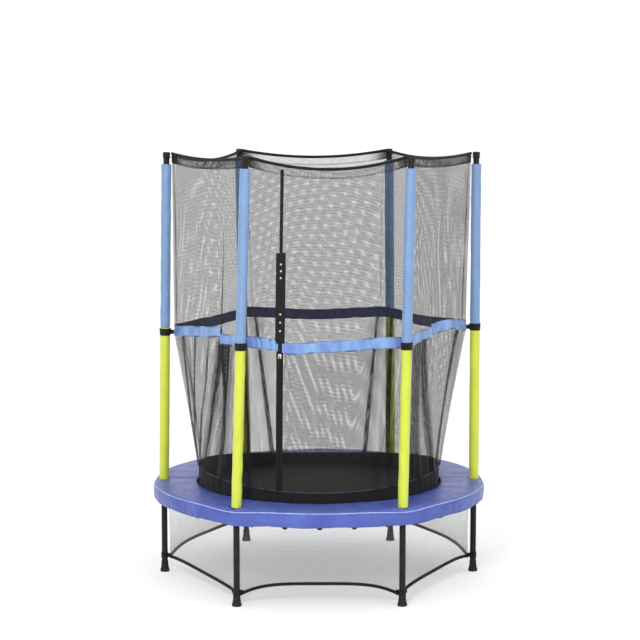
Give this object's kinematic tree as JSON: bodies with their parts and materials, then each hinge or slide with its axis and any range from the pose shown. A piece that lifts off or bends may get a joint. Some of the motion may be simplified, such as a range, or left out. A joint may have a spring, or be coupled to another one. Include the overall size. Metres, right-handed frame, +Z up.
{
  "type": "trampoline",
  "caption": "Small round enclosed trampoline: a sprung jumping mat in a padded ring on legs, inside a netting enclosure hung from foam-sleeved posts, with a zipped door.",
  "frame": {"origin": "on the floor, under the middle of the mat", "axes": "+Z up; -Y towards the side with the door; +X to the right of somebody facing the door"},
  "size_m": [1.3998, 1.4, 1.785],
  "materials": {
    "black_frame_paint": "satin powder coat",
    "zinc_steel": "zinc plated, satin",
    "silver_metal": "polished",
    "black_rubber": "matte",
    "black_plastic": "matte",
    "lime_sleeve": "smooth vinyl over foam, satin",
    "blue_sleeve": "smooth vinyl over foam, satin",
    "black_webbing": "woven, matte",
    "black_elastic": "braided cord, matte",
    "mat_fabric": "tight woven, matte",
    "white_foam": "foam, matte",
    "blue_vinyl": "coated fabric, satin gloss",
    "blue_satin": "shiny woven, satin",
    "black_net": "open mesh, matte",
    "black_hem": "doubled mesh, matte",
    "grey_net": "open mesh, matte"
  },
  "bodies": {
    "frame": {"apron_hem": "black_webbing", "apron_net": "grey_net", "corner_fittings": "black_frame_paint", "door_flap": "black_webbing", "door_seam": "black_webbing", "elastic_loops": "black_elastic", "leg_back_left": "black_frame_paint", "leg_back_right": "black_frame_paint", "leg_front_left": "black_frame_paint", "leg_front_right": "black_frame_paint", "leg_left": "black_frame_paint", "leg_right": "black_frame_paint", "leg_screws": "zinc_steel", "leg_ties": "black_webbing", "loop_balls": "black_plastic", "lower_foam_sleeves": "lime_sleeve", "lower_net": "black_net", "lower_post_back_left": "black_frame_paint", "lower_post_back_right": "black_frame_paint", "lower_post_front_left": "black_frame_paint", "lower_post_front_right": "black_frame_paint", "lower_post_left": "black_frame_paint", "lower_post_right": "black_frame_paint", "middle_band": "blue_satin", "pad_cover": "blue_vinyl", "pad_foam": "white_foam", "pad_skirt": "blue_vinyl", "post_caps": "black_plastic", "post_straps": "black_webbing", "ring_screws": "zinc_steel", "ring_tube_back": "black_frame_paint", "ring_tube_front": "black_frame_paint", "ring_tube_left_back": "black_frame_paint", "ring_tube_left_front": "black_frame_paint", "ring_tube_right_back": "black_frame_paint", "ring_tube_right_front": "black_frame_paint", "rope_ties": "black_elastic", "rubber_feet": "black_rubber", "snap_studs": "silver_metal", "top_hem": "black_hem", "top_rope": "black_elastic", "upper_foam_sleeves": "blue_sleeve", "upper_net": "black_net", "upper_post_back_left": "black_frame_paint", "upper_post_back_right": "black_frame_paint", "upper_post_front_left": "black_frame_paint", "upper_post_front_right": "black_frame_paint", "upper_post_left": "black_frame_paint", "upper_post_right": "black_frame_paint", "zip_tape": "black_webbing", "zip_teeth": "black_plastic"},
    "mat": {"jumping_mat": "mat_fabric", "mat_webbing": "black_webbing", "mat_rings": "zinc_steel", "net_foot_band": "black_webbing"},
    "zip_slider": {"zip_slider": "silver_metal"},
    "zip_pull": {"zip_pull": "black_plastic"}
  },
  "joints": [
    {"name": "mat_bounce", "type": "slide", "parent": "frame", "child": "mat", "axis": [0, 0, 1], "range_m": [-0.15, 0], "stiffness_N_per_m": 3000, "springref_m": 0.006, "deforming": ["elastic_loops"]},
    {"name": "zip_slide", "type": "slide", "parent": "frame", "child": "zip_slider", "axis": [0.0103, -0.1016, 0.9948], "range_m": [-0.5, 0]},
    {"name": "zip_pull_swing", "type": "hinge", "parent": "zip_slider", "child": "zip_pull", "pos_m": [-0.15633, -0.55094, 0.99635], "axis": [-0.9999, -0.001, 0.0102], "range_deg": [-3, 160]}
  ]
}
